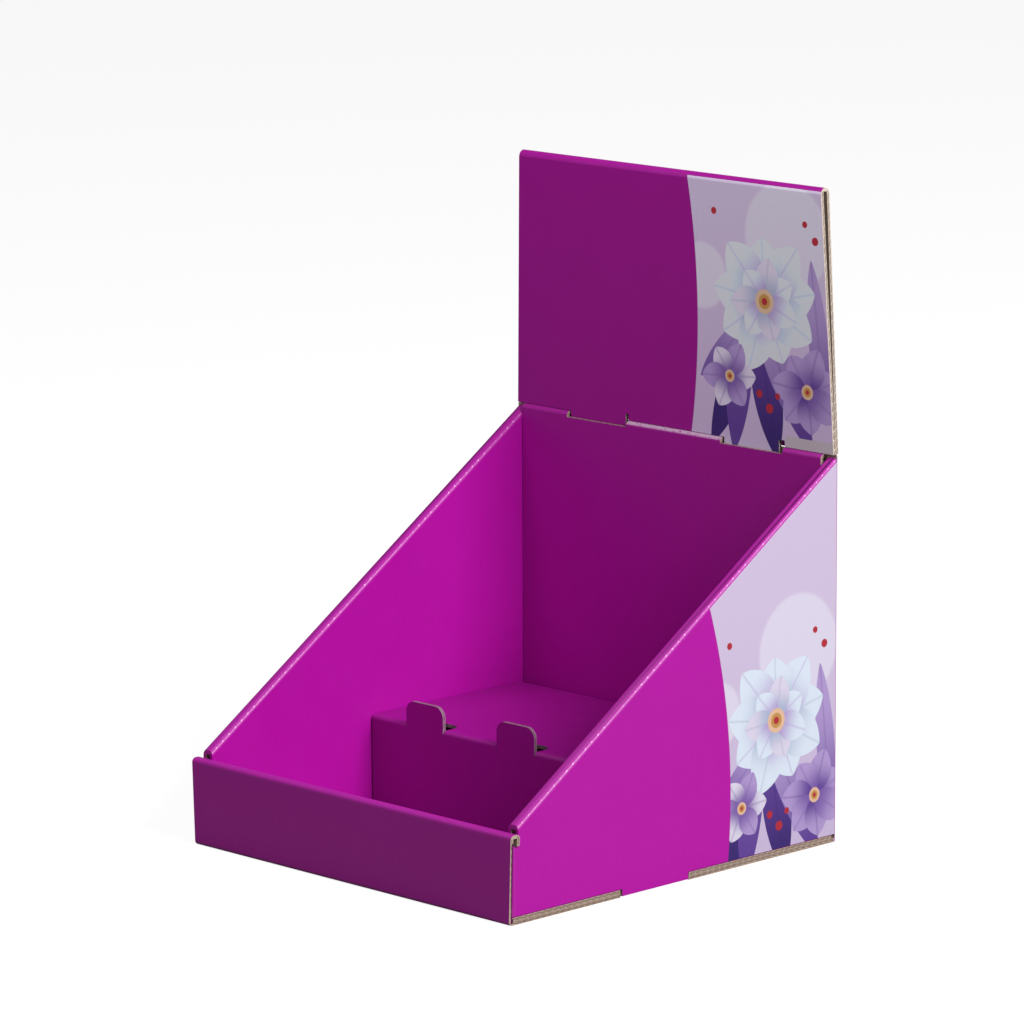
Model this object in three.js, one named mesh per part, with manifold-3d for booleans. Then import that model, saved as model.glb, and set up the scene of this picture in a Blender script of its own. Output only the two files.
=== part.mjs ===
// Counter display box: a folded corrugated-board tray with sloped sides, a step insert with stop tabs,
// and a folded header card that plugs into the top of the back wall.
// Millimetres, +Z up. The front faces -Y, and the origin is under the middle of the box on its table.
import * as THREE from "three";
import { mergeVertices } from "three/addons/utils/BufferGeometryUtils.js";
import Module from "manifold-3d";

const wasm = await Module();
wasm.setup();

// Board
const board = 1.6; // thickness of the fine-flute board
const foldRadius = 1.2; // radius of a scored fold, on the middle of the board
const layerGap = 0.3; // gap between layers that lie on each other
const pieceGap = 0.3; // gap between a piece and the piece that it rests on
const arcSteps = 6;

// Tray
const trayWidth = 200;
const trayDepth = 205.2;
const frontHeight = 39.6;
const backHeight = 175.4;
const slopeFrontHeight = 42.8; // top of the side wall where it meets the front wall
const sideWall = 6; // both layers of a side wall and the space between them
const backWall = 5.2; // the same for the back wall, whose space takes the header tabs
const frontFlare = 1.3; // how far the front wall's top corners stand out past the side walls
const cornerRadius = 2; // outside of the upright folds
const floorGap = 0.2; // glue line between the two floor layers

// Front flaps of the side walls, tucked into the front wall
const flapLength = 56;
const flapTopRoom = 3.5;
const flapBevel = 9;

// Lock tabs
const sideTabLength = 41;
const sideTabCentre = 88.9; // behind the front face
const sideTabFrontGap = 1.2;
const lockTabWidth = 30;
const lockTabSpacing = 100;
const lockTabLift = 0.4; // from the table to the end of a lock tab

// Riser, the step in the tray
const riserHeight = 43.7; // top of the platform over the table
const riserDepth = 97.3;
const riserSideGap = 0.8;
const stopTabWidth = 24;
const stopTabHeight = 10.5;
const stopTabSpacing = 58.5;
const stopTabCorner = 5;
const stopTabCount = 3;

// Header card
const headerTop = 294; // over the table
const headerBottomWidth = 198;
const headerTopWidth = 186;
const headerShift = 0.6; // the card sits a little to the right
const headerLean = 3.6; // how far its front leans forward over its height
const headerThickness = 5.5; // over both layers at the top fold
const plugSpacing = 97;
const plugShift = 3;
const slotLength = 38;
const slotDepth = 2.6; // how far a slot reaches down the inner back panel
const plugLength = 20;
const plugEndWidth = 29;
const plugCorner = 4;
const plugPlay = 1; // slot length left free at the left of a plug tab
const reliefWidths = [1.8, 3.6]; // notch at the right root of the left and the right plug tab
const reliefHeight = 2.9;

// Derived places
const half = trayWidth / 2;
const front = -trayDepth / 2;
const rear = trayDepth / 2;
const frontWall = 3 * board + 2 * layerGap;
const floorTop = 2 * board + floorGap;
const panelBottom = floorTop + layerGap;
const innerHalf = half - sideWall;
const foldInset = board / 2 + foldRadius;
const backInnerHalf = innerHalf - layerGap;
const sideFront = front + frontWall + layerGap;
const reach = 20; // how far cutting tools run past the faces that they cut

// Solid from a closed three.js geometry.
function toSolid(geometry) {
  const bare = geometry.index ? geometry.toNonIndexed() : geometry.clone();
  bare.deleteAttribute("normal");
  bare.deleteAttribute("uv");
  const welded = mergeVertices(bare, 1e-5);
  const mesh = new wasm.Mesh({
    numProp: 3,
    vertProperties: new Float32Array(welded.attributes.position.array),
    triVerts: new Uint32Array(welded.index.array),
  });
  return new wasm.Manifold(mesh);
}

// Geometry from a solid.
function toGeometry(solid) {
  const mesh = solid.getMesh();
  const geometry = new THREE.BufferGeometry();
  geometry.setAttribute("position", new THREE.BufferAttribute(new Float32Array(mesh.vertProperties), 3));
  geometry.setIndex(new THREE.BufferAttribute(new Uint32Array(mesh.triVerts), 1));
  geometry.computeVertexNormals();
  return geometry;
}

// The same solid on the other side of the middle plane.
function mirrored(solid) {
  const geometry = toGeometry(solid);
  geometry.scale(-1, 1, 1);
  const index = geometry.index.array;
  for (let i = 0; i < index.length; i += 3) {
    const first = index[i];
    index[i] = index[i + 1];
    index[i + 1] = first;
  }
  return toSolid(geometry);
}

// An outline pushed along an axis: (y, z) outlines run along x, (x, z) along y and (x, y) along z.
function prism(outline, axis, from, to) {
  const shape = new THREE.Shape(outline.map(([u, v]) => new THREE.Vector2(u, v)));
  const geometry = new THREE.ExtrudeGeometry(shape, { depth: to - from, bevelEnabled: false, steps: 1 });
  const along = {
    x: [new THREE.Vector3(0, 1, 0), new THREE.Vector3(0, 0, 1), new THREE.Vector3(1, 0, 0)],
    y: [new THREE.Vector3(1, 0, 0), new THREE.Vector3(0, 0, 1), new THREE.Vector3(0, -1, 0)],
    z: [new THREE.Vector3(1, 0, 0), new THREE.Vector3(0, 1, 0), new THREE.Vector3(0, 0, 1)],
  }[axis];
  const matrix = new THREE.Matrix4().makeBasis(...along);
  matrix.setPosition(axis === "x" ? from : 0, axis === "y" ? to : 0, axis === "z" ? from : 0);
  return toSolid(geometry.applyMatrix4(matrix));
}

// A box between two corners.
function block([x0, y0, z0], [x1, y1, z1]) {
  const geometry = new THREE.BoxGeometry(x1 - x0, y1 - y0, z1 - z0);
  geometry.translate((x0 + x1) / 2, (y0 + y1) / 2, (z0 + z1) / 2);
  return toSolid(geometry);
}

// A closed outline from corners [u, v, radius], with each corner rounded by its radius.
function roundedOutline(corners) {
  const points = [];
  corners.forEach(([u, v, radius = 0], i) => {
    const corner = new THREE.Vector2(u, v);
    const previous = corners[(i + corners.length - 1) % corners.length];
    const next = corners[(i + 1) % corners.length];
    if (radius === 0) {
      points.push([u, v]);
      return;
    }
    const back = new THREE.Vector2(previous[0], previous[1]).sub(corner).normalize();
    const ahead = new THREE.Vector2(next[0], next[1]).sub(corner).normalize();
    const opening = Math.acos(THREE.MathUtils.clamp(back.dot(ahead), -1, 1));
    const start = corner.clone().addScaledVector(back, radius / Math.tan(opening / 2));
    const middle = back.clone().add(ahead).normalize();
    const centre = corner.clone().addScaledVector(middle, radius / Math.sin(opening / 2));
    const spoke = start.clone().sub(centre);
    const turn = Math.PI - opening;
    const side = Math.sign(ahead.cross(back));
    for (let step = 0; step <= arcSteps; step += 1) {
      const point = spoke.clone().rotateAround(new THREE.Vector2(), (side * turn * step) / arcSteps);
      points.push([centre.x + point.x, centre.y + point.y]);
    }
  });
  return points;
}

// The closed section of a folded strip of board. Its middle line starts at a point with a heading in
// degrees, and each move is a straight run or a fold in degrees, which turns left when it is positive.
function foldedSection(start, heading, moves) {
  const point = new THREE.Vector2(...start);
  let angle = THREE.MathUtils.degToRad(heading);
  const left = [];
  const right = [];
  const mark = () => {
    const across = new THREE.Vector2(-Math.sin(angle), Math.cos(angle));
    left.push(point.clone().addScaledVector(across, board / 2).toArray());
    right.push(point.clone().addScaledVector(across, -board / 2).toArray());
  };
  const advance = (length) => {
    point.addScaledVector(new THREE.Vector2(Math.cos(angle), Math.sin(angle)), length);
  };
  mark();
  for (const { run = 0, fold = 0, radius = foldRadius } of moves) {
    if (run > 0) {
      advance(run);
      mark();
    }
    const step = THREE.MathUtils.degToRad(fold) / arcSteps;
    for (let i = 0; fold !== 0 && i < arcSteps; i += 1) {
      angle += step / 2;
      advance(2 * radius * Math.sin(Math.abs(step) / 2));
      angle += step / 2;
      mark();
    }
  }
  return [...right, ...left.reverse()];
}

// Corner tool that rounds an upright outside fold at (x, y), with the box towards -x and dirY.
function uprightFoldTool(x, y, dirY, from, to) {
  const points = [];
  for (let step = 0; step <= arcSteps; step += 1) {
    const turn = (Math.PI / 2) * (step / arcSteps);
    points.push([
      x - cornerRadius + cornerRadius * Math.sin(turn),
      y + dirY * cornerRadius - dirY * cornerRadius * Math.cos(turn),
    ]);
  }
  points.push([x + reach, y + dirY * cornerRadius]);
  points.push([x + reach, y - dirY * reach]);
  points.push([x - cornerRadius, y - dirY * reach]);
  return prism(points, "z", from, to);
}

// Front wall, floor, back wall and the lining that turns forward from it, folded from one strip.
function trayStrip() {
  const section = foldedSection([front + frontWall - board / 2, panelBottom], 90, [
    { run: frontHeight - foldInset - panelBottom, fold: 90 },
    { run: frontWall - 2 * foldInset, fold: 90 },
    { run: frontHeight - 2 * foldInset, fold: 90 },
    { run: trayDepth - 2 * foldInset, fold: 90 },
    { run: backHeight - 2 * foldInset, fold: 90 },
    { run: backWall - 2 * foldInset, fold: 90 },
    { run: backHeight - 2 * foldInset - board - floorGap, fold: -90 },
    { run: trayDepth - backWall + board / 2 - foldRadius - board - layerGap },
  ]);
  return prism(section, "x", -half - frontFlare, half + frontFlare);
}

// What the strip lacks beside its middle, on the right: the ends of the inner panels and the back roll.
function stripTrim() {
  const capBottom = frontHeight - flapTopRoom - board;
  const flare = prism(
    [
      [half, -reach],
      [half, 0],
      [half + frontFlare, frontHeight],
      [half + frontFlare, frontHeight + reach],
      [half + reach, frontHeight + reach],
      [half + reach, -reach],
    ],
    "y",
    front - reach,
    front + frontWall + layerGap / 2,
  );
  return flare
    .add(block([half, front + frontWall, -reach], [half + reach, rear + reach, backHeight + reach]))
    .add(
      block(
        [half - board - layerGap, front + board + layerGap / 2, floorTop + floorGap / 2],
        [half + reach, front + frontWall + reach / 2, capBottom],
      ),
    )
    .add(
      block(
        [backInnerHalf, rear - backWall - reach / 2, floorTop + floorGap / 2],
        [half + reach, rear - board, backHeight + reach],
      ),
    )
    .add(
      block(
        [backInnerHalf, rear - board - reach, backHeight - foldInset - layerGap],
        [half + reach, rear + reach, backHeight + reach],
      ),
    );
}

// The straight top of the outer back panel beside the roll, on the right.
function backPanelEar() {
  return block(
    [backInnerHalf, rear - board, backHeight - foldInset - layerGap - board],
    [half, rear, backHeight - layerGap],
  );
}

// One side wall: the rolled slope with its two panels, the front flap and the lock tab, on the right.
function rightSideWall() {
  const slopeRun = rear - sideFront;
  const pitch = Math.atan2(backHeight - slopeFrontHeight, slopeRun);
  const legs = backHeight + trayDepth;
  const section = foldedSection([half - board / 2, -legs], 90, [
    { run: legs - foldInset, fold: 90 },
    { run: sideWall - 2 * foldInset, fold: 90 },
    { run: legs - foldInset },
  ]);
  const shape = new THREE.Shape(section.map(([u, v]) => new THREE.Vector2(u, v)));
  const slopeLength = Math.hypot(slopeRun, backHeight - slopeFrontHeight);
  const roll = new THREE.ExtrudeGeometry(shape, { depth: slopeLength + 2 * legs, bevelEnabled: false });
  const across = new THREE.Vector3(1, 0, 0);
  const outward = new THREE.Vector3(0, -Math.sin(pitch), Math.cos(pitch));
  const down = new THREE.Vector3(0, -Math.cos(pitch), -Math.sin(pitch));
  const matrix = new THREE.Matrix4().makeBasis(across, outward, down);
  matrix.setPosition(new THREE.Vector3(0, rear, backHeight).addScaledVector(down, -legs));
  const wall = toSolid(roll.applyMatrix4(matrix));

  const capBottom = frontHeight - flapTopRoom - board - layerGap;
  const flapFront = front + board + layerGap;
  const outerRoom = prism(
    [
      [flapFront, panelBottom],
      [rear, panelBottom],
      [rear, backHeight],
      [sideFront, backHeight],
      [sideFront, capBottom],
      [flapFront, capBottom],
    ],
    "x",
    half - sideWall / 2,
    half + reach,
  );
  const innerRoom = block(
    [innerHalf - reach, sideFront, panelBottom],
    [half - sideWall / 2, rear - board - layerGap, backHeight],
  );
  const flap = prism(
    [
      [half - cornerRadius / 2, panelBottom],
      [half - cornerRadius / 2, capBottom],
      [half - flapLength, capBottom - flapBevel],
      [half - flapLength, panelBottom + flapBevel],
      [half - flapLength / 2, panelBottom],
    ],
    "y",
    flapFront,
    flapFront + board,
  );
  const tabFront = front + sideTabCentre - sideTabLength / 2;
  const lockTab = block(
    [half - board, tabFront, lockTabLift],
    [half, tabFront + sideTabLength, panelBottom + board],
  );
  return wall
    .intersect(outerRoom.add(innerRoom))
    .add(flap)
    .subtract(uprightFoldTool(half, flapFront, 1, panelBottom - layerGap / 2, capBottom + layerGap / 2))
    .add(lockTab);
}

// Notch in the floor's edge that takes the lock tab of a side wall, on the right.
function sideNotch() {
  const tabFront = front + sideTabCentre - sideTabLength / 2;
  return block(
    [half - board - layerGap, tabFront - sideTabFrontGap, -reach],
    [half + reach, tabFront + sideTabLength + layerGap, floorTop + floorGap / 2],
  );
}

// One lock tab under the inner front panel, and the floor slot that it stands in.
function frontLock(x) {
  const inner = front + frontWall - board;
  const tab = block(
    [x - lockTabWidth / 2, inner, lockTabLift],
    [x + lockTabWidth / 2, inner + board, panelBottom + board],
  );
  const slot = block(
    [x - lockTabWidth / 2 - layerGap, inner - layerGap, -reach],
    [x + lockTabWidth / 2 + layerGap, inner + board + layerGap, floorTop + floorGap / 2],
  );
  return { tab, slot };
}

// Slots for the header's plug tabs, from the back roll down the inner panel.
function headerSlots() {
  return [-1, 1].map((side) => {
    const centre = plugShift + (side * plugSpacing) / 2;
    return block(
      [centre - slotLength / 2, rear - backWall - reach / 2, backHeight - slotDepth],
      [centre + slotLength / 2, rear - board, backHeight + reach],
    );
  });
}

function tray() {
  const trim = stripTrim();
  const ear = backPanelEar();
  const side = rightSideWall();
  const notch = sideNotch();
  let sheet = trayStrip().subtract(trim).subtract(mirrored(trim)).subtract(notch).subtract(mirrored(notch));
  for (const x of [-lockTabSpacing / 2, lockTabSpacing / 2]) {
    const { tab, slot } = frontLock(x);
    sheet = sheet.subtract(slot).add(tab);
  }
  for (const slot of headerSlots()) {
    sheet = sheet.subtract(slot);
  }
  sheet = sheet.add(ear).add(mirrored(ear)).add(side).add(mirrored(side));
  const rearFold = uprightFoldTool(half, rear, -1, -reach, backHeight + reach);
  return sheet.subtract(rearFold).subtract(mirrored(rearFold));
}

// The step: back panel, platform and front panel from one strip, with stop tabs cut from the platform.
function riser() {
  const width = 2 * (innerHalf - riserSideGap);
  const bottom = floorTop + pieceGap;
  const back = rear - backWall - pieceGap;
  const face = back - riserDepth;
  const section = foldedSection([back - board / 2, bottom], 90, [
    { run: riserHeight - foldInset - bottom, fold: 90 },
    { run: riserDepth - 2 * foldInset, fold: 90 },
    { run: riserHeight - foldInset - bottom },
  ]);
  let sheet = prism(section, "x", -width / 2, width / 2);
  for (let i = 0; i < stopTabCount; i += 1) {
    const x = (i - (stopTabCount - 1) / 2) * stopTabSpacing;
    const left = x - stopTabWidth / 2;
    const right = x + stopTabWidth / 2;
    const foldBottom = riserHeight - foldInset - board / 2;
    const opening = prism(
      roundedOutline([
        [left - layerGap, face - reach],
        [right + layerGap, face - reach],
        [right + layerGap, face + board / 2 + stopTabHeight, stopTabCorner],
        [left - layerGap, face + board / 2 + stopTabHeight, stopTabCorner],
      ]),
      "z",
      foldBottom,
      riserHeight + reach,
    );
    const tab = prism(
      roundedOutline([
        [left, foldBottom - board],
        [right, foldBottom - board],
        [right, riserHeight + stopTabHeight, stopTabCorner],
        [left, riserHeight + stopTabHeight, stopTabCorner],
      ]),
      "y",
      face,
      face + board,
    );
    sheet = sheet.subtract(opening).add(tab);
  }
  return sheet;
}

// The header: plug tabs, front sheet, top fold and rear sheet from one strip, cut to its outline.
function headerCard() {
  const bottom = backHeight + pieceGap;
  const plugMiddle = rear - board - (backWall - 2 * board) / 2;
  const topRadius = (headerThickness - board) / 2;
  const height = headerTop - headerThickness / 2 - bottom;
  const frontAngle = THREE.MathUtils.radToDeg(Math.atan2(headerLean, height));
  const rearTop = plugMiddle - headerLean + 2 * topRadius;
  const rearBottom = rear - layerGap / 2 - board / 2;
  const rearAngle = THREE.MathUtils.radToDeg(Math.atan2(rearBottom - rearTop, height));
  const section = foldedSection([plugMiddle, bottom - plugLength], 90, [
    { run: plugLength, fold: frontAngle },
    { run: Math.hypot(height, headerLean), fold: -(180 + frontAngle - rearAngle), radius: topRadius },
    { run: Math.hypot(height, rearBottom - rearTop) },
  ]);
  const strip = prism(section, "x", -headerBottomWidth, headerBottomWidth);
  const outline = prism(
    [
      [headerShift - headerBottomWidth / 2, bottom],
      [headerShift + headerBottomWidth / 2, bottom],
      [headerShift + headerTopWidth / 2, headerTop + reach],
      [headerShift - headerTopWidth / 2, headerTop + reach],
    ],
    "y",
    front,
    rear + reach,
  );
  let allowed = outline;
  [-1, 1].forEach((side, i) => {
    const slotLeft = plugShift + (side * plugSpacing) / 2 - slotLength / 2;
    const left = slotLeft + plugPlay;
    const right = slotLeft + slotLength - reliefWidths[i];
    const middle = (left + right) / 2;
    const plug = prism(
      roundedOutline([
        [left, bottom + board],
        [left, bottom - plugLength / 3],
        [middle - plugEndWidth / 2, bottom - plugLength, plugCorner],
        [middle + plugEndWidth / 2, bottom - plugLength, plugCorner],
        [right, bottom - plugLength / 3],
        [right, bottom + board],
      ]),
      "y",
      plugMiddle - board,
      plugMiddle + board,
    );
    const relief = block(
      [right, plugMiddle - headerThickness, bottom - reach],
      [right + reliefWidths[i], plugMiddle + board / 2 + layerGap / 4, bottom + reliefHeight],
    );
    allowed = allowed.subtract(relief).add(plug);
  });
  return strip.intersect(allowed);
}

// Materials
const printedBoard = { color: 0x8c1482, roughness: 0.45, metalness: 0 };

const box = new THREE.Group();
for (const [name, make] of [["tray", tray], ["riser", riser], ["header_card", headerCard]]) {
  const mesh = new THREE.Mesh(toGeometry(make()), new THREE.MeshStandardMaterial(printedBoard));
  mesh.name = name;
  box.add(mesh);
}

export default box;
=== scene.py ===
# %% [markdown]
# # A counter display box of folded, printed board
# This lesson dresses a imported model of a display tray, its step and its header card. The model is the
# frame: it says where every sheet of board lies. Each sheet is then shown by a finished copy whose
# faces know whether they are print, cut edge or bare board. The camera and the soft light come first,
# so that every later cell can be looked at from the same place.

# %% Load the frame
import math

import bmesh
import bpy
from mathutils import Matrix, Vector
from mathutils.bvhtree import BVHTree


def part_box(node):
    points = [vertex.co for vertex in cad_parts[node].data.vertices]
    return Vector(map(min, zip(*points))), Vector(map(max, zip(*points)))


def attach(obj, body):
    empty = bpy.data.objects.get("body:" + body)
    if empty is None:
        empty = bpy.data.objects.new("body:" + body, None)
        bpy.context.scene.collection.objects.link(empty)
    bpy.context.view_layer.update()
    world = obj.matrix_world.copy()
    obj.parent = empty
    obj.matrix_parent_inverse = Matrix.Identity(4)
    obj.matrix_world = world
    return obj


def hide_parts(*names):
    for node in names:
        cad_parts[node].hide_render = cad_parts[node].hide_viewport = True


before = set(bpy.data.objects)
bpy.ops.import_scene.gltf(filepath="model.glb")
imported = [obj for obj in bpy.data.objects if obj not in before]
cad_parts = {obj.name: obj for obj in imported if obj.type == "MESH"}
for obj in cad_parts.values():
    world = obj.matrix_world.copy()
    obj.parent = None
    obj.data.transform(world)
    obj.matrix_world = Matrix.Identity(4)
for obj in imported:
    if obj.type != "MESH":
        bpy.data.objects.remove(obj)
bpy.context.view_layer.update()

MM = 0.001
print("pieces in the frame:", sorted(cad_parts))

# %% [markdown]
# The boxes of the three sheets are read from the frame. The board's thickness is written out, because
# no box gives it.

# %% Sizes taken from the frame
BOARD = 1.6 * MM
tray_low, tray_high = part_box("tray")
riser_low, riser_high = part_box("riser")
header_low, header_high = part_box("header_card")
print("tray height in mm:", round(tray_high.z / MM, 1), "header top in mm:", round(header_high.z / MM, 1))

# %% [markdown]
# The camera stands in front of the box's right corner, a little above it, and far away with a long
# lens, which keeps the upright edges nearly parallel. Its place is a real one in metres, and its turn
# is built from three directions: where it looks, what is to its right and what is up.

# %% Camera
CAMERA_PLACE = Vector((1.7876, -1.7552, 0.6389))
CAMERA_AZIMUTH = math.radians(45.55)
CAMERA_ELEVATION = math.radians(11.03)
CAMERA_ROLL = math.radians(-0.26)
SENSOR_WIDTH = 36.0
PICTURE_WIDTH = 1024
FOCAL_PIXELS = 5779.2


def make_camera():
    ahead = Vector((
        -math.sin(CAMERA_AZIMUTH) * math.cos(CAMERA_ELEVATION),
        math.cos(CAMERA_AZIMUTH) * math.cos(CAMERA_ELEVATION),
        -math.sin(CAMERA_ELEVATION),
    ))
    level_right = ahead.cross(Vector((0, 0, 1))).normalized()
    level_up = level_right.cross(ahead)
    right = math.cos(CAMERA_ROLL) * level_right + math.sin(CAMERA_ROLL) * level_up
    up = right.cross(ahead)
    data = bpy.data.cameras.new("camera")
    data.sensor_width = SENSOR_WIDTH
    data.lens = FOCAL_PIXELS / PICTURE_WIDTH * SENSOR_WIDTH
    data.clip_end = 50
    camera = bpy.data.objects.new("camera", data)
    bpy.context.scene.collection.objects.link(camera)
    turn = Matrix((right, up, -ahead)).transposed().to_4x4()
    camera.matrix_world = Matrix.Translation(CAMERA_PLACE) @ turn
    bpy.context.scene.camera = camera
    return camera


camera = make_camera()
print("lens in mm:", round(camera.data.lens, 1))

# %% [markdown]
# The light is a plain studio set. A large soft lamp stands high on the right, so that faces turned to +X
# are the brightest and the box throws a soft shadow inside itself. A weak lamp near the front, above the
# box, gives the header more light than the low front wall. The rest of the room is dark, so the purple
# stays deep. The camera itself sees a white room and a white floor that still takes a pale shadow.

# %% Light, surround and floor
SURROUND_LEVEL = 0.12
FLOOR_SIZE = 12.0
FLOOR_GREY = 0.26
FLOOR_LIFT = 0.88
LAMP_AIM = Vector((0, 0, 0.12))
# name, place, edge of the square in metres, watts
LAMPS = [
    ("key_lamp", Vector((2.5, 0.05, 1.84)), 1.2, 118.0),
    ("front_lamp", Vector((-0.1, -0.36, 0.62)), 0.4, 1.5),
]


def camera_looks(nodes):
    """A mask that is 1 where the camera looks straight at a surface."""
    return nodes.new("ShaderNodeLightPath").outputs["Is Camera Ray"]


def make_surround():
    world = bpy.data.worlds.new("surround")
    world.use_nodes = True
    nodes = world.node_tree.nodes
    links = world.node_tree.links
    background = nodes["Background"]
    background.inputs["Color"].default_value = (1, 1, 1, 1)
    level = nodes.new("ShaderNodeMix")
    level.data_type = "FLOAT"
    level.inputs[2].default_value = SURROUND_LEVEL
    level.inputs[3].default_value = 1.0
    links.new(camera_looks(nodes), level.inputs[0])
    links.new(level.outputs[0], background.inputs["Strength"])
    bpy.context.scene.world = world


def make_lamp(name, place, size, power):
    data = bpy.data.lights.new(name, "AREA")
    data.shape = "SQUARE"
    data.size = size
    data.energy = power
    lamp = bpy.data.objects.new(name, data)
    bpy.context.scene.collection.objects.link(lamp)
    turn = (LAMP_AIM - place).to_track_quat("-Z", "Y").to_matrix().to_4x4()
    lamp.matrix_world = Matrix.Translation(place) @ turn


def make_floor():
    mesh = bpy.data.meshes.new("floor")
    edge = FLOOR_SIZE / 2
    corners = [(-edge, -edge, 0), (edge, -edge, 0), (edge, edge, 0), (-edge, edge, 0)]
    mesh.from_pydata(corners, [], [(0, 1, 2, 3)])
    floor = bpy.data.objects.new("floor", mesh)
    bpy.context.scene.collection.objects.link(floor)
    paper = bpy.data.materials.new("white_floor")
    paper.use_nodes = True
    nodes = paper.node_tree.nodes
    links = paper.node_tree.links
    surface = nodes["Principled BSDF"]
    surface.inputs["Base Color"].default_value = (FLOOR_GREY, FLOOR_GREY, FLOOR_GREY, 1)
    surface.inputs["Roughness"].default_value = 0.9
    surface.inputs["Specular IOR Level"].default_value = 0.0
    surface.inputs["Emission Color"].default_value = (1, 1, 1, 1)
    lift = nodes.new("ShaderNodeMath")
    lift.operation = "MULTIPLY"
    lift.inputs[1].default_value = FLOOR_LIFT
    links.new(camera_looks(nodes), lift.inputs[0])
    links.new(lift.outputs[0], surface.inputs["Emission Strength"])
    mesh.materials.append(paper)


make_surround()
for row in LAMPS:
    make_lamp(*row)
make_floor()
bpy.context.scene.view_settings.view_transform = "Standard"
print("lamps and their watts:", {row[0]: row[3] for row in LAMPS})

# %% [markdown]
# Nodes are wired by a few small helpers, so that each finish reads as a recipe. `wire` sets an input to
# a number, a colour or another node's output, whichever it is given.

# %% Helpers for shader nodes


def wire(tree, socket, value):
    """Puts a number or a colour on a socket, or links another socket to it."""
    if isinstance(value, bpy.types.NodeSocket):
        tree.links.new(value, socket)
    else:
        socket.default_value = value


def maths(tree, operation, *values):
    node = tree.nodes.new("ShaderNodeMath")
    node.operation = operation
    for socket, value in zip(node.inputs, values):
        wire(tree, socket, value)
    return node.outputs[0]


def blend_colours(tree, share, below, above):
    node = tree.nodes.new("ShaderNodeMix")
    node.data_type = "RGBA"
    wire(tree, node.inputs[0], share)
    wire(tree, node.inputs[6], below)
    wire(tree, node.inputs[7], above)
    return node.outputs[2]


def smooth_step(tree, value, low, high):
    """0 below low, 1 above high, and a smooth rise between them."""
    node = tree.nodes.new("ShaderNodeMapRange")
    node.interpolation_type = "SMOOTHSTEP"
    wire(tree, node.inputs["Value"], value)
    wire(tree, node.inputs["From Min"], low)
    wire(tree, node.inputs["From Max"], high)
    return node.outputs["Result"]


def noise(tree, place, scale, detail=2.0, roughness=0.5):
    node = tree.nodes.new("ShaderNodeTexNoise")
    wire(tree, node.inputs["Vector"], place)
    node.inputs["Scale"].default_value = scale
    node.inputs["Detail"].default_value = detail
    node.inputs["Roughness"].default_value = roughness
    return node.outputs["Fac"]


def split(tree, vector):
    node = tree.nodes.new("ShaderNodeSeparateXYZ")
    wire(tree, node.inputs[0], vector)
    return node.outputs


def use_group(tree, group, **values):
    """Places a node group and sets its named inputs, with spaces written as underscores."""
    node = tree.nodes.new("ShaderNodeGroup")
    node.node_tree = group
    for name, value in values.items():
        wire(tree, node.inputs[name.replace("_", " ")], value)
    return node


def new_group(name, inputs, outputs):
    """An empty node group with named sockets, each given as (name, kind, start value)."""
    tree = bpy.data.node_groups.new(name, "ShaderNodeTree")
    for label, kind, value in inputs:
        socket = tree.interface.new_socket(label, in_out="INPUT", socket_type="NodeSocket" + kind)
        if value is not None:
            socket.default_value = value
    for label, kind in outputs:
        tree.interface.new_socket(label, in_out="OUTPUT", socket_type="NodeSocket" + kind)
    return tree, tree.nodes.new("NodeGroupInput").outputs, tree.nodes.new("NodeGroupOutput").inputs


def srgb(red, green, blue):
    """A colour as it is read off a screen, 0 to 255, turned into the light values that shaders use."""
    def light(channel):
        share = channel / 255
        return share / 12.92 if share <= 0.04045 else ((share + 0.055) / 1.055) ** 2.4
    return (light(red), light(green), light(blue), 1.0)


print("a screen grey of 188 is a light value of", round(srgb(188, 188, 188)[0], 3))

# %% [markdown]
# Film-laminated board is not quite flat. The flutes inside show through as faint upright bars, and the
# film has a fine orange-peel. One group gives both as a height, and the same group serves every sheet.
# The bars are counted along the wall: x for faces turned to the front or the back, y for the sides.

# %% Board relief group
FLUTE_PITCH = 3.8 * MM


def make_board_relief():
    tree, given, result = new_group(
        "board_relief",
        [("Place", "Vector", None), ("Facing", "Vector", None), ("Pitch", "Float", FLUTE_PITCH)],
        [("Height", "Float"), ("Bars", "Float")],
    )
    place = split(tree, given["Place"])
    facing = split(tree, given["Facing"])
    sideways = maths(tree, "GREATER_THAN", maths(tree, "ABSOLUTE", facing[0]), 0.7)
    along = maths(
        tree, "ADD",
        maths(tree, "MULTIPLY", place[1], sideways),
        maths(tree, "MULTIPLY", place[0], maths(tree, "SUBTRACT", 1.0, sideways)),
    )
    turns = maths(tree, "DIVIDE", maths(tree, "MULTIPLY", along, 2 * math.pi), given["Pitch"])
    bars = maths(tree, "MULTIPLY_ADD", maths(tree, "SINE", turns), 0.5, 0.5)
    wander = noise(tree, given["Place"], 22.0, 3.0)
    peel = noise(tree, given["Place"], 700.0, 2.0)
    low = maths(tree, "MULTIPLY", bars, maths(tree, "MULTIPLY_ADD", wander, 0.5, 0.1))
    height = maths(tree, "ADD", low, maths(tree, "MULTIPLY", peel, 0.25))
    tree.links.new(height, result["Height"])
    tree.links.new(bars, result["Bars"])
    return tree


board_relief = make_board_relief()
print("flute bars to 100 mm:", round(0.1 / FLUTE_PITCH, 1))

# %% [markdown]
# Where print is bent over a fold it stretches, and at the crests of the flutes it cracks to the white paper
# below. Each sheet carries a `fold` value, 1 on the round of a fold and 0 on the flats. The group turns it
# into a row of small pale spots, one at each flute, along the slope folds only, where their round turns up
# and to the side, as the rounds that catch the key lamp do. So the spots are partly cracked film and partly
# a painted highlight.

# %% Fold wear and painted highlight group


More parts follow.
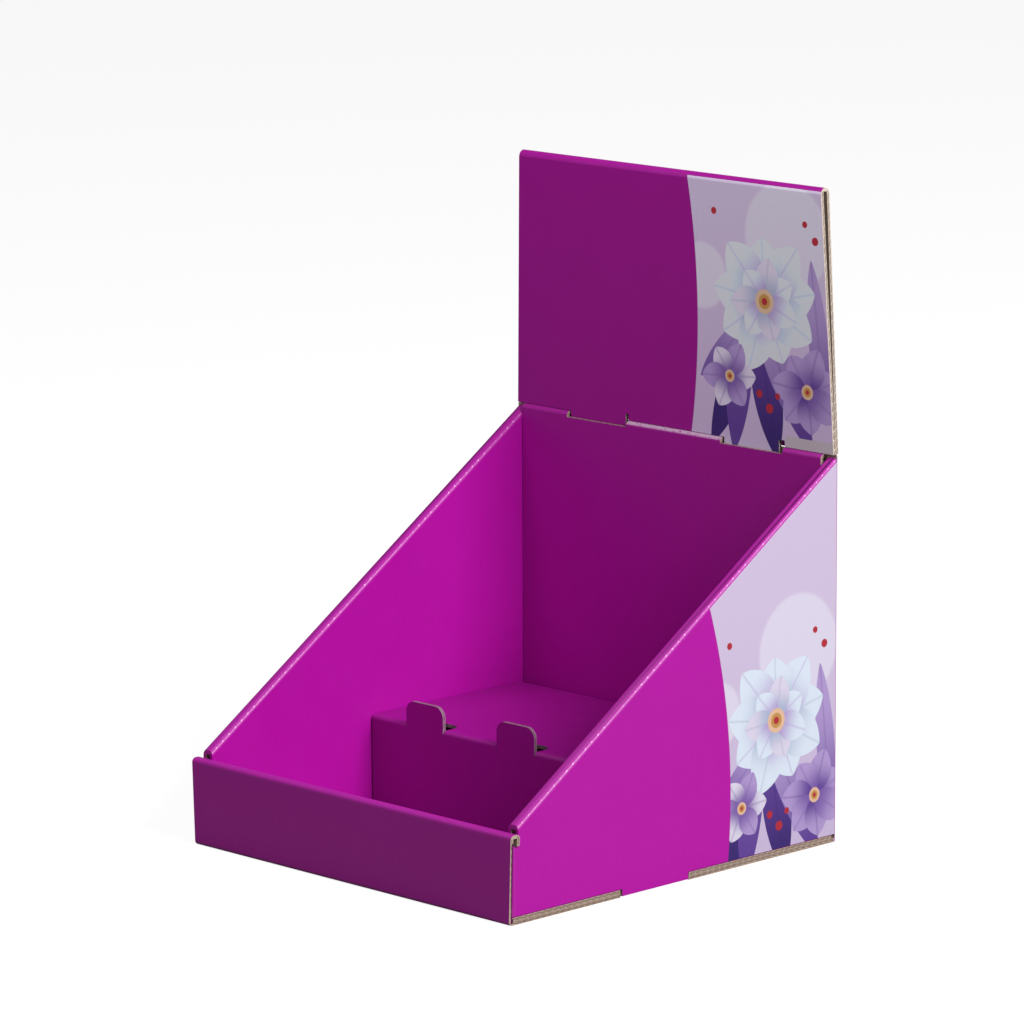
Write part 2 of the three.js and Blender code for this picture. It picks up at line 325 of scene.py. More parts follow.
def make_fold_wear_and_glint():
    tree, given, result = new_group(
        "fold_wear_and_glint",
        [("Place", "Vector", None), ("Facing", "Vector", None), ("Fold", "Float", 0.0),
         ("Bars", "Float", 0.0), ("Amount", "Float", 0.5)],
        [("Flecks", "Float"), ("Stretch", "Float")],
    )
    facing = split(tree, given["Facing"])
    slant = maths(tree, "ABSOLUTE", facing[0])
    # Painted highlight: only fold rounds turned up and to the side, as towards the key lamp, get the spots.
    lamp_side_crest = maths(
        tree, "MULTIPLY",
        smooth_step(tree, slant, 0.45, 0.6),
        smooth_step(tree, slant, 0.9, 0.75),
    )
    lamp_side_crest = maths(tree, "MULTIPLY", lamp_side_crest, smooth_step(tree, facing[2], 0.25, 0.4))
    patchy = smooth_step(tree, noise(tree, given["Place"], 90.0, 2.0), 0.32, 0.62)
    dots = maths(tree, "MULTIPLY", smooth_step(tree, given["Bars"], 0.86, 1.0), patchy)
    flecks = maths(tree, "MULTIPLY", maths(tree, "MULTIPLY", dots, lamp_side_crest), given["Fold"])
    tree.links.new(maths(tree, "MULTIPLY", flecks, given["Amount"]), result["Flecks"])
    tree.links.new(maths(tree, "MULTIPLY", given["Fold"], given["Amount"]), result["Stretch"])
    return tree


fold_wear_and_glint = make_fold_wear_and_glint()
print("fold wear group has", len(fold_wear_and_glint.nodes), "nodes")

# %% [markdown]
# The purple itself is an even printed field with a little mottle from the press. The fold group lightens it
# at the folds: a faint wear on every round, and pale spots on the slope folds that are partly cracked film
# and partly painted highlight.

# %% Purple ink group
PURPLE = srgb(174, 13, 156)
PURPLE_DEEP = srgb(163, 5, 145)
CRACK_AND_GLINT = srgb(240, 190, 232)


def make_purple_ink():
    tree, given, result = new_group(
        "purple_ink",
        [("Place", "Vector", None)],
        [("Colour", "Color")],
    )
    cloud = noise(tree, given["Place"], 28.0, 4.0, 0.6)
    grain = noise(tree, given["Place"], 1400.0, 2.0, 0.7)
    share = maths(tree, "MULTIPLY_ADD", grain, 0.5, maths(tree, "MULTIPLY", cloud, 0.5))
    tree.links.new(blend_colours(tree, share, PURPLE_DEEP, PURPLE), result["Colour"])
    return tree


purple_ink = make_purple_ink()
print("purple ink:", [round(channel, 3) for channel in PURPLE[:3]])

# %% [markdown]
# Beside the purple, the header and the right wall carry a pale printed field. Here it is a spray of
# blossoms and leaves in lilac, ice white and violet. A petal is the lens between two curves: its half
# width swells and shrinks along its length, so one small group draws every petal and leaf.

# %% Petal group
INK_SOFT = 0.2 * MM


def make_petal():
    tree, given, result = new_group(
        "petal",
        [("Place", "Vector", None), ("Root", "Vector", (0, 0, 0)), ("Turn", "Float", 0.0),
         ("Length", "Float", 0.03), ("Width", "Float", 0.01)],
        [("Mask", "Float"), ("Along", "Float"), ("Rib", "Float")],
    )
    offset = tree.nodes.new("ShaderNodeVectorMath")
    offset.operation = "SUBTRACT"
    wire(tree, offset.inputs[0], given["Place"])
    wire(tree, offset.inputs[1], given["Root"])
    turned = tree.nodes.new("ShaderNodeVectorRotate")
    turned.rotation_type = "Z_AXIS"
    wire(tree, turned.inputs["Vector"], offset.outputs[0])
    wire(tree, turned.inputs["Angle"], maths(tree, "MULTIPLY", given["Turn"], -1.0))
    place = split(tree, turned.outputs[0])
    along = maths(tree, "DIVIDE", place[0], given["Length"])
    bulge = maths(tree, "MULTIPLY", along, maths(tree, "SUBTRACT", 1.0, along))
    swell = maths(tree, "POWER", maths(tree, "MAXIMUM", maths(tree, "MULTIPLY", bulge, 4.0), 0.0), 0.8)
    half_width = maths(tree, "MULTIPLY", swell, given["Width"])
    side = maths(tree, "ABSOLUTE", place[1])
    inside = maths(tree, "SUBTRACT", half_width, side)
    tree.links.new(smooth_step(tree, inside, 0.0, INK_SOFT), result["Mask"])
    tree.links.new(along, result["Along"])
    rib = maths(tree, "SUBTRACT", 1.0, smooth_step(tree, side, 0.1 * MM, 0.9 * MM))
    tree.links.new(rib, result["Rib"])
    return tree


petal = make_petal()
print("petal group outputs:", [item.name for item in petal.interface.items_tree if item.in_out == "OUTPUT"])

# %% [markdown]
# The spray is laid out in millimetres from the lower right corner of its field, u to the right and v up.
# Blossoms are rings of petals made by a loop, and leaves are single long petals behind them.

# %% Blossom print group
GROUND_LOW = srgb(202, 184, 217)
GROUND_HIGH = srgb(208, 192, 221)
MOON = srgb(220, 212, 232)
ICE = srgb(219, 229, 243)
ICE_SHADE = srgb(164, 176, 205)
LILAC = srgb(176, 152, 206)
LILAC_SHADE = srgb(122, 92, 166)
VIOLET = srgb(96, 64, 148)
INDIGO = srgb(58, 38, 112)
PEACH = srgb(230, 186, 156)
GOLD = srgb(196, 146, 78)
BERRY = srgb(178, 44, 58)
GROUND_HEIGHT = 120 * MM
MOON_SOFT = 1.2 * MM

# Moons: middle u and v, radius
MOONS = [(-26, 92, 25), (-78, 70, 15)]
# Leaves: root u and v, turn in degrees, length, width, colour at the root and at the tip
LEAVES = [
    (-74, -6, 64, 88, 9, INDIGO, VIOLET),
    (-60, -8, 84, 74, 8, VIOLET, LILAC_SHADE),
    (-34, -8, 100, 66, 9, INDIGO, VIOLET),
    (-12, -4, 118, 78, 8, VIOLET, LILAC),
    (-4, 10, 96, 74, 6, LILAC_SHADE, LILAC),
    (-80, 24, 42, 52, 6, LILAC_SHADE, LILAC),
]
# Blossoms: middle u and v, petals, length, width, first turn, two pairs of root and tip colours, heart
BLOSSOMS = [
    (-40, 62, 9, 31, 11, 12, (ICE_SHADE, ICE), (LILAC, ICE), 5.5),
    (-40, 62, 7, 19, 7, 30, (LILAC, ICE), (ICE_SHADE, MOON), 5.5),
    (-15, 24, 7, 20, 7.5, 20, (LILAC_SHADE, LILAC), (VIOLET, LILAC), 3.4),
    (-62, 26, 6, 16, 6, 4, (LILAC_SHADE, MOON), (LILAC_SHADE, LILAC), 2.8),
]
# Berries: middle u and v, radius
BERRIES = [(-38, 14, 2.2), (-44, 20, 1.8), (-33, 20, 1.5), (-9, 92, 1.9), (-15, 99, 1.5), (-70, 100, 1.6)]
# A blossom's heart: share of its radius and colour, from the outside in
HEART_RINGS = [(1.0, PEACH), (0.62, GOLD), (0.3, BERRY)]


def draw_petal(tree, place, ground, root, turn, length, width, colours):
    node = use_group(tree, petal, Place=place, Length=length * MM, Width=width * MM)
    node.inputs["Root"].default_value = (root[0] * MM, root[1] * MM, 0)
    node.inputs["Turn"].default_value = math.radians(turn)
    shade = blend_colours(tree, smooth_step(tree, node.outputs["Along"], 0.1, 0.8), *colours)
    lit = maths(tree, "MULTIPLY", node.outputs["Rib"], 0.35)
    shade = blend_colours(tree, lit, shade, colours[0])
    return blend_colours(tree, node.outputs["Mask"], ground, shade)


def draw_disc(tree, place, ground, middle, radius, colour, soft=INK_SOFT):
    distance = tree.nodes.new("ShaderNodeVectorMath")
    distance.operation = "DISTANCE"
    wire(tree, distance.inputs[0], place)
    distance.inputs[1].default_value = (middle[0] * MM, middle[1] * MM, 0)
    outside = smooth_step(tree, distance.outputs["Value"], radius * MM - soft, radius * MM + soft)
    return blend_colours(tree, outside, colour, ground)


def make_blossom_print():
    tree, given, result = new_group("blossom_print", [("Place", "Vector", None)], [("Colour", "Color")])
    place = given["Place"]
    height = split(tree, place)[1]
    colour = blend_colours(tree, smooth_step(tree, height, 0.0, GROUND_HEIGHT), GROUND_LOW, GROUND_HIGH)
    for u, v, radius in MOONS:
        colour = draw_disc(tree, place, colour, (u, v), radius, MOON, MOON_SOFT)
    for u, v, turn, length, width, root_colour, tip_colour in LEAVES:
        colour = draw_petal(tree, place, colour, (u, v), turn, length, width, (root_colour, tip_colour))
    for u, v, count, length, width, first, even, odd, heart in BLOSSOMS:
        for number in range(count):
            turn = first + number * 360 / count
            reach = length * (1 + 0.08 * math.sin(2.4 * number))
            pair = odd if number % 2 else even
            colour = draw_petal(tree, place, colour, (u, v), turn, reach, width, pair)
        for share, ring_colour in HEART_RINGS:
            colour = draw_disc(tree, place, colour, (u, v), heart * share, ring_colour)
    for u, v, radius in BERRIES:
        colour = draw_disc(tree, place, colour, (u, v), radius, BERRY)
    tree.links.new(colour, result["Colour"])
    return tree


blossom_print = make_blossom_print()
print("blossom print:", sum(row[2] for row in BLOSSOMS), "petals,", len(LEAVES), "leaves")

# %% [markdown]
# Between the two slots the top of the back wall is drawn in a pale colour. The group finds that stretch by
# its place and by its upward turn, and breaks it up a little.

# %% Pale strip group
STRIP_PALE = srgb(206, 172, 200)
STRIP_FROM = -27 * MM
STRIP_TO = 33 * MM
STRIP_DROP = 1.6 * MM
STRIP_DEPTH = 6 * MM


def make_pale_strip():
    tree, given, result = new_group(
        "pale_strip",
        [("Place", "Vector", None), ("Facing", "Vector", None)],
        [("Mask", "Float")],
    )
    place = split(tree, given["Place"])
    facing = split(tree, given["Facing"])
    after = smooth_step(tree, place[0], STRIP_FROM, STRIP_FROM + MM)
    before = smooth_step(tree, place[0], STRIP_TO + MM, STRIP_TO)
    high = maths(tree, "GREATER_THAN", place[2], tray_high.z - STRIP_DROP)
    at_back = maths(tree, "GREATER_THAN", place[1], tray_high.y - STRIP_DEPTH)
    upward = smooth_step(tree, facing[2], 0.2, 0.6)
    speckle = smooth_step(tree, noise(tree, given["Place"], 800.0, 3.0), 0.3, 0.45)
    mask = maths(tree, "MULTIPLY", speckle, 0.9)
    for part in (after, before, high, at_back, upward):
        mask = maths(tree, "MULTIPLY", mask, part)
    tree.links.new(mask, result["Mask"])
    return tree


pale_strip = make_pale_strip()
print("rubbed strip in mm:", round((STRIP_TO - STRIP_FROM) / MM, 1))

# %% [markdown]
# A printed sheet's material puts the layers together: purple print, the pale field beyond its arc where the
# sheet has one, flecks on the folds (cracked film and painted highlight), then film with a soft gloss. The
# field is given by its arc: the middle of a large circle and its radius, in the plane of the wall that
# carries it, and the corner where the spray starts, all in millimetres. At the low right end of the header
# the field is a plain pale grey. The gain factors were tuned until the tones came near the photo's under
# these lamps, and they are painted light and shade: the header's spray is a lighter copy of the print, for
# the weaker light on the header, and the right wall's a darker copy, for the strong light on it. The step's
# purple is a fifth darker for the same reason, as painted shade on the step inside the box.

# %% Printed board material
# Gains for the spray: painted light on the header, painted shade on the right wall.
HEADER_ARC = {"middle": (-316.5, 235.0), "radius": 335.0, "corner": (99.6, 178.0), "painted_light_gain": 1.22}
WALL_ARC = {"middle": (-246.5, 33.0), "radius": 280.0, "corner": (102.6, 0.0), "painted_light_gain": 0.84}
WALL_FIELD_DEPTH = 4 * MM
BAND_TOP = header_low.z + 25.0 * MM
BAND_LEFT = 71 * MM
BAND_GREY = srgb(212, 203, 210)
PAPER_WHITE = (0.86, 0.9, 0.97)


def scale_colour(tree, colour, factor):
    """The colour times a factor, kept within what paper can reflect."""
    bright = tree.nodes.new("ShaderNodeVectorMath")
    bright.operation = "SCALE"
    wire(tree, bright.inputs[0], colour)
    bright.inputs["Scale"].default_value = factor
    capped = tree.nodes.new("ShaderNodeVectorMath")
    capped.operation = "MINIMUM"
    wire(tree, capped.inputs[0], bright.outputs[0])
    capped.inputs[1].default_value = PAPER_WHITE
    return capped.outputs[0]


def field_colour(tree, place, facing, field):
    """The field's colour and its mask, on the header's front or on the right wall's outside."""
    axes = split(tree, place)
    normal = split(tree, facing)
    if field == "header":
        arc = HEADER_ARC
        across = axes[0]
        faces_out = maths(tree, "LESS_THAN", normal[1], -0.9)
    else:
        arc = WALL_ARC
        across = axes[1]
        outside = maths(tree, "GREATER_THAN", axes[0], tray_high.x - WALL_FIELD_DEPTH)
        faces_out = maths(tree, "MULTIPLY", maths(tree, "GREATER_THAN", normal[0], 0.98), outside)
    edge, level = arc["corner"]
    flat = tree.nodes.new("ShaderNodeCombineXYZ")
    wire(tree, flat.inputs[0], maths(tree, "SUBTRACT", across, edge * MM))
    wire(tree, flat.inputs[1], maths(tree, "SUBTRACT", axes[2], level * MM))
    art = use_group(tree, blossom_print, Place=flat.outputs[0]).outputs["Colour"]
    # The gain makes the spray lighter on the header and darker on the wall, as painted light and shade.
    art = scale_colour(tree, art, arc["painted_light_gain"])
    side = maths(tree, "SUBTRACT", across, arc["middle"][0] * MM)
    rise = maths(tree, "SUBTRACT", axes[2], arc["middle"][1] * MM)
    reach = maths(tree, "SQRT", maths(tree, "ADD", maths(tree, "MULTIPLY", side, side),
                                      maths(tree, "MULTIPLY", rise, rise)))
    radius = arc["radius"] * MM
    beyond = smooth_step(tree, reach, radius - INK_SOFT, radius + INK_SOFT)
    if field == "header":
        low = maths(tree, "LESS_THAN", axes[2], BAND_TOP)
        right = maths(tree, "GREATER_THAN", axes[0], BAND_LEFT)
        art = blend_colours(tree, maths(tree, "MULTIPLY", low, right), art, BAND_GREY)
    return art, maths(tree, "MULTIPLY", beyond, faces_out)


def make_printed_board(name, field=None, wear_and_glint=0.5, roughness=0.33, pale=False, painted_light_gain=1.0):
    material = bpy.data.materials.new(name)
    material.use_nodes = True
    tree = material.node_tree
    surface = tree.nodes["Principled BSDF"]
    coordinates = tree.nodes.new("ShaderNodeTexCoord")
    place = coordinates.outputs["Object"]
    facing = coordinates.outputs["Normal"]
    relief = use_group(tree, board_relief, Place=place, Facing=facing)
    fold = tree.nodes.new("ShaderNodeAttribute")
    fold.attribute_name = "fold"
    fold_marks = use_group(tree, fold_wear_and_glint, Place=place, Facing=facing, Fold=fold.outputs["Fac"],
                     Bars=relief.outputs["Bars"], Amount=wear_and_glint)
    # The gain darkens the step's purple as painted shade; it is 1 on the tray and the header.
    colour = scale_colour(tree, use_group(tree, purple_ink, Place=place).outputs["Colour"], painted_light_gain)
    if field:
        art, mask = field_colour(tree, place, facing, field)
        colour = blend_colours(tree, mask, colour, art)
    colour = blend_colours(tree, maths(tree, "MULTIPLY", fold_marks.outputs["Stretch"], 0.02), colour, CRACK_AND_GLINT)
    # Pale spots on the slope folds, partly cracked film and partly painted highlight.
    colour = blend_colours(tree, fold_marks.outputs["Flecks"], colour, CRACK_AND_GLINT)
    # A pale strip along the top of the back wall, between the slots.
    if pale:
        strip = use_group(tree, pale_strip, Place=place, Facing=facing).outputs["Mask"]
        colour = blend_colours(tree, strip, colour, STRIP_PALE)
    wire(tree, surface.inputs["Base Color"], colour)
    mottle = noise(tree, place, 60.0, 3.0)
    wire(tree, surface.inputs["Roughness"], maths(tree, "MULTIPLY_ADD", mottle, 0.12, roughness))
    surface.inputs["Specular IOR Level"].default_value = 0.36
    bump = tree.nodes.new("ShaderNodeBump")
    bump.inputs["Strength"].default_value = 0.35
    bump.inputs["Distance"].default_value = 0.1 * MM
    wire(tree, bump.inputs["Height"], relief.outputs["Height"])
    wire(tree, surface.inputs["Normal"], bump.outputs["Normal"])
    return material


printed_tray = make_printed_board("printed_tray", field="wall", wear_and_glint=0.9, pale=True)
# The step's purple is darkened as painted shade.
printed_step = make_printed_board("printed_step", wear_and_glint=0.3, roughness=0.4, painted_light_gain=0.8)
printed_header = make_printed_board("printed_header", field="header", wear_and_glint=0.35)
print("printed boards:", printed_tray.name, printed_step.name, printed_header.name)

# %% [markdown]
# A cut edge shows what board is: two paper liners with a waving strip of paper between them. The sheet
# carries an `across` value, 0 at the bare liner and 1 at the printed one, so the wave can be drawn between
# the liners wherever the knife went. The hollow flutes around the wave are painted dark, as painted shade.
# At the ends of the front wall, low down, only the outer liner of the cut shows pale, and the rest is
# painted a dark purple shade, standing in for the side wall's fold lying in shadow beside it. The mesh is a
# plain cut there.

# %% Cut edge and bare board materials
KRAFT = srgb(172, 150, 134)
KRAFT_PALE = srgb(194, 176, 160)
# Dark kraft, for blotches in the paper, and also painted shade in the hollow flutes of a cut edge.
DARK_KRAFT_AND_FLUTE_SHADE = srgb(82, 56, 50)
# Painted shade on the front wall's cut ends: its colour, height and depth.
FOLD_SHADE = srgb(92, 20, 78)
FOLD_SHADE_TOP = 36 * MM
FOLD_SHADE_DEPTH = 2.4 * MM
STEP_PAPER = srgb(158, 118, 148)
STEP_PAPER_PALE = srgb(178, 142, 168)
# The header's cuts use a lighter copy of the same kraft, painted light where the key lamp falls on them.
HEADER_KRAFT_LIT = srgb(200, 184, 168)
HEADER_KRAFT_LIT_PALE = srgb(220, 206, 192)


def make_cut_edge(name, paper, paper_pale, fold_shade=False):
    material = bpy.data.materials.new(name)
    material.use_nodes = True
    tree = material.node_tree
    surface = tree.nodes["Principled BSDF"]
    place = tree.nodes.new("ShaderNodeTexCoord").outputs["Object"]
    axes = split(tree, place)
    edge = tree.nodes.new("ShaderNodeAttribute")
    edge.attribute_name = "across"
    across = edge.outputs["Fac"]
    run = maths(tree, "ADD", maths(tree, "ADD", axes[0], axes[1]), axes[2])
    wave = maths(tree, "SINE", maths(tree, "MULTIPLY", run, 2 * math.pi / FLUTE_PITCH))
    centre = maths(tree, "MULTIPLY_ADD", wave, 0.3, 0.5)
    from_wave = maths(tree, "ABSOLUTE", maths(tree, "SUBTRACT", across, centre))
    from_middle = maths(tree, "ABSOLUTE", maths(tree, "SUBTRACT", across, 0.5))
    strip = maths(tree, "SUBTRACT", 1.0, smooth_step(tree, from_wave, 0.06, 0.16))
    liner = smooth_step(tree, from_middle, 0.3, 0.36)
    solid = maths(tree, "MAXIMUM", strip, liner)
    fibre = noise(tree, place, 1500.0, 4.0, 0.7)
    blotch = noise(tree, place, 120.0, 3.0)
    tan = blend_colours(tree, fibre, paper, paper_pale)
    tan = blend_colours(tree, maths(tree, "MULTIPLY", blotch, 0.25), tan, DARK_KRAFT_AND_FLUTE_SHADE)
    # The hollows between the liners and the waved paper are painted shade in the dark kraft.
    colour = blend_colours(tree, maths(tree, "MULTIPLY_ADD", solid, 0.62, 0.38), DARK_KRAFT_AND_FLUTE_SHADE, tan)
    # Painted shade: the inner part of the cut at the front wall's low ends is coloured dark purple.
    if fold_shade:
        front = maths(tree, "LESS_THAN", axes[1], tray_low.y + FOLD_SHADE_DEPTH)
        low = maths(tree, "LESS_THAN", axes[2], FOLD_SHADE_TOP)
        inner = smooth_step(tree, across, 0.62, 0.5)
        shade = maths(tree, "MULTIPLY", maths(tree, "MULTIPLY", front, low), inner)
        colour = blend_colours(tree, shade, colour, FOLD_SHADE)
    wire(tree, surface.inputs["Base Color"], colour)
    surface.inputs["Roughness"].default_value = 0.88
    surface.inputs["Specular IOR Level"].default_value = 0.2
    bump = tree.nodes.new("ShaderNodeBump")
    bump.inputs["Strength"].default_value = 0.6
    bump.inputs["Distance"].default_value = 0.25 * MM
    wire(tree, bump.inputs["Height"], maths(tree, "MULTIPLY_ADD", fibre, 0.2, solid))
    wire(tree, surface.inputs["Normal"], bump.outputs["Normal"])
    return material


def make_bare_board():
    material = bpy.data.materials.new("bare_board")
    material.use_nodes = True
    tree = material.node_tree
    surface = tree.nodes["Principled BSDF"]
    coordinates = tree.nodes.new("ShaderNodeTexCoord")
    place = coordinates.outputs["Object"]
    relief = use_group(tree, board_relief, Place=place, Facing=coordinates.outputs["Normal"])
    fibre = noise(tree, place, 900.0, 5.0, 0.7)
    blotch = noise(tree, place, 40.0, 4.0)
    tan = blend_colours(tree, fibre, KRAFT, KRAFT_PALE)
    tan = blend_colours(tree, maths(tree, "MULTIPLY", blotch, 0.3), tan, DARK_KRAFT_AND_FLUTE_SHADE)
    wire(tree, surface.inputs["Base Color"], tan)
    surface.inputs["Roughness"].default_value = 0.9
    surface.inputs["Specular IOR Level"].default_value = 0.2
    bump = tree.nodes.new("ShaderNodeBump")
    bump.inputs["Strength"].default_value = 0.4
    bump.inputs["Distance"].default_value = 0.15 * MM
    wire(tree, bump.inputs["Height"], maths(tree, "ADD", relief.outputs["Height"], fibre))
    wire(tree, surface.inputs["Normal"], bump.outputs["Normal"])
    return material


cut_tray = make_cut_edge("cut_tray", KRAFT, KRAFT_PALE, fold_shade=True)
cut_step = make_cut_edge("cut_step", STEP_PAPER, STEP_PAPER_PALE)
# Painted light: the header's cut edges get the lighter kraft.
cut_header = make_cut_edge("cut_header", HEADER_KRAFT_LIT, HEADER_KRAFT_LIT_PALE)
bare_board = make_bare_board()
print("board materials:", cut_tray.name, cut_step.name, cut_header.name, bare_board.name)

# %% [markdown]
# Now the sheets. A copy of a frame piece has its doubled corners merged and its flat areas joined into
# whole faces. Each face is then sorted by looking through it: where the far side is one board thickness
# away, the face is a skin of the sheet, and otherwise the knife made it. A skin that looks at another
# layer close by is the bare inside, and the rest is print.

# %% Sort the faces of a sheet
PRINT = 0
CUT = 1
BARE = 2
MERGE = 0.004 * MM
HAIR = 0.02 * MM
LAYER_REACH = 3.3 * MM
THICKNESS_PLAY = 0.3 * MM
FOLD_STRIP = 2.5 * MM
SHORTEST_RUN = 8 * MM
NARROWEST_EDGE = 0.8 * BOARD
WIDEST_EDGE = 1.3 * BOARD
UPRIGHT = 0.8
FLAT_ANGLE = math.radians(0.6)
FOLD_LEAST = math.radians(5)
FOLD_MOST = math.radians(25)
SHARP_ANGLE = math.radians(32)


def joined_copy(node):
    """The node's mesh as a work mesh with merged corners and joined flat faces."""
    work = bmesh.new()
    work.from_mesh(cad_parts[node].data)
    bmesh.ops.remove_doubles(work, verts=work.verts, dist=MERGE)
    bmesh.ops.dissolve_limit(work, angle_limit=FLAT_ANGLE, verts=work.verts, edges=work.edges)
    work.normal_update()
    return work


def look_through(tree, corners, normal):
    """Distances from the middle of a triangle into the sheet and out of it, None where nothing is met."""
    middle = (corners[0] + corners[1] + corners[2]) / 3
    inward = tree.ray_cast(middle - normal * HAIR, -normal, 1.0)[3]
    outward = tree.ray_cast(middle + normal * HAIR, normal, LAYER_REACH)[3]
    return inward, outward


def sort_faces(work, bare_side=None, wrapped=None):
    """The kind of every face. bare_side says of a skin's middle and normal whether it is the unprinted
    side, for a sheet that isn't folded back on itself. wrapped says where print is drawn over a cut."""
    tree = BVHTree.FromBMesh(work)
    votes = {face.index: [0.0, 0.0, 0.0] for face in work.faces}
    for loops in work.calc_loop_triangles():
        face = loops[0].face
        corners = [loop.vert.co for loop in loops]
        area = (corners[1] - corners[0]).cross(corners[2] - corners[0]).length / 2
        inward, outward = look_through(tree, corners, face.normal)
        if inward is None or abs(inward + HAIR - BOARD) > THICKNESS_PLAY:
            kind = PRINT if wrapped and wrapped(corners[0], face.normal) else CUT
        elif bare_side is not None:
            kind = BARE if bare_side(sum(corners, Vector()) / 3, face.normal) else PRINT
        else:
            kind = BARE if outward is not None else PRINT
        votes[face.index][kind] += area
    return {index: counts.index(max(counts)) for index, counts in votes.items()}


def mark_folds(work, kinds):
    """1 on the narrow faces that make the round of a printed fold, 0 on flat print."""
    layer = work.loops.layers.float.new("fold")
    for face in work.faces:
        bends = 0
        for edge in face.edges:
            printed = all(kinds[other.index] == PRINT for other in edge.link_faces)
            if printed and FOLD_LEAST < edge.calc_face_angle(0.0) < FOLD_MOST:
                bends += 1
        width = face.calc_area() / max(edge.calc_length() for edge in face.edges)
        if bends >= 2 and width < FOLD_STRIP:
            for corner in face.loops:
                corner[layer] = 1.0


def mark_across(work, kinds):
    """1 at the corners that touch print, 0 at those that touch the bare side, half where both meet."""
    layer = work.verts.layers.float.new("across")
    for corner in work.verts:
        touched = {kinds[face.index] for face in corner.link_faces}
        if PRINT in touched and BARE not in touched:
            corner[layer] = 1.0
        elif PRINT in touched:
            corner[layer] = 0.5


def settle(piece):
    """Turns what the piece's modifiers make into its own mesh."""
    seen = piece.evaluated_get(bpy.context.evaluated_depsgraph_get())
    mesh = bpy.data.meshes.new_from_object(seen)
    piece.modifiers.clear()
    piece.data = mesh
    mesh.name = piece.name
    return len(mesh.polygons)


def open_flutes(work, kinds):
    """The middle lines of the long cut edges that cross the flutes, as (start, end, across) rows. The
    flutes stand upright in the walls, so an upright edge shows none."""
    rows = []
    for face in work.faces:
        if kinds[face.index] != CUT or len(face.verts) != 4:
            continue
        ends = sorted(face.edges, key=lambda edge: edge.calc_length())[:2]
        widths = [edge.calc_length() for edge in ends]
        start, end = [(edge.verts[0].co + edge.verts[1].co) / 2 for edge in ends]
        run = end - start
        if max(widths) > WIDEST_EDGE or min(widths) < NARROWEST_EDGE or run.length < SHORTEST_RUN:
            continue
        if abs(run.normalized().z) < UPRIGHT:
            across = face.normal.cross(run).normalized()
            rows.append((start + run * 0.01, end - run * 0.01, across))
    return rows


def make_sheet(node, name, slot, printed, cut, **rules):
    work = joined_copy(node)
    work.faces.index_update()
    kinds = sort_faces(work, **rules)
    mark_folds(work, kinds)
    mark_across(work, kinds)
    for face in work.faces:
        face.material_index = kinds[face.index]
        face.smooth = True
    counts = [list(kinds.values()).count(kind) for kind in (PRINT, CUT, BARE)]
    flutes = open_flutes(work, kinds)
    mesh = bpy.data.meshes.new(name)
    work.to_mesh(mesh)
    work.free()
    for material in (printed, cut, bare_board):
        mesh.materials.append(material)
    mesh.set_sharp_from_angle(angle=SHARP_ANGLE)
    sheet = bpy.data.objects.new(name, mesh)
    bpy.context.scene.collection.objects.link(sheet)
    weighted = sheet.modifiers.new("even_shading", "WEIGHTED_NORMAL")
    weighted.keep_sharp = True
    settle(sheet)
    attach(sheet, "root")
    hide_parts(node)
    print(name, "has print, cut and bare faces:", counts, "and open flute runs:", len(flutes))
    return flutes


# %% [markdown]
# The tray and the header card are folded back on themselves, so their bare side is found by the layer
# that it faces. The step is an open channel, and its bare side is the one that looks to its middle.

# %% Tray, step and header card
ROLL_END_HEIGHT = 37 * MM
ROLL_END_WIDTH = 9 * MM
step_middle = (riser_low + riser_high) / 2
step_middle.z = riser_low.z


def step_bare_side(middle, normal):
    return normal.dot(middle - step_middle) < 0


def slope_roll_end(corner, normal):
    """The lower ends of the slope rolls, where print is drawn over the cut as colour only."""
    beside = abs(corner.x) > tray_high.x - ROLL_END_WIDTH
    return normal.y < -0.3 and corner.z > ROLL_END_HEIGHT and beside


tray_flutes = make_sheet(
    "tray", "tray_sheet", "tray_board", printed_tray, cut_tray,
    wrapped=slope_roll_end,
)
step_flutes = make_sheet(
    "riser", "step_sheet", "riser_board", printed_step, cut_step,
    bare_side=step_bare_side,
)
header_flutes = make_sheet("header_card", "header_sheet", "header_board", printed_header, cut_header)

# %% [markdown]
# In the cut edges the waved paper between the liners stands a hair proud. A geometry node tree lays it
# along every open run: it takes the straight lines, cuts them into short steps, swings the steps from
# side to side at the pitch of the waves drawn in the cut edge, and gives the line the thickness of paper.

# %% Waved paper node tree
WAVE_SWING = 0.3 * BOARD
WAVE_STEP = FLUTE_PITCH / 8
PAPER_RADIUS = 0.11 * MM
PAPER_SIDES = 6


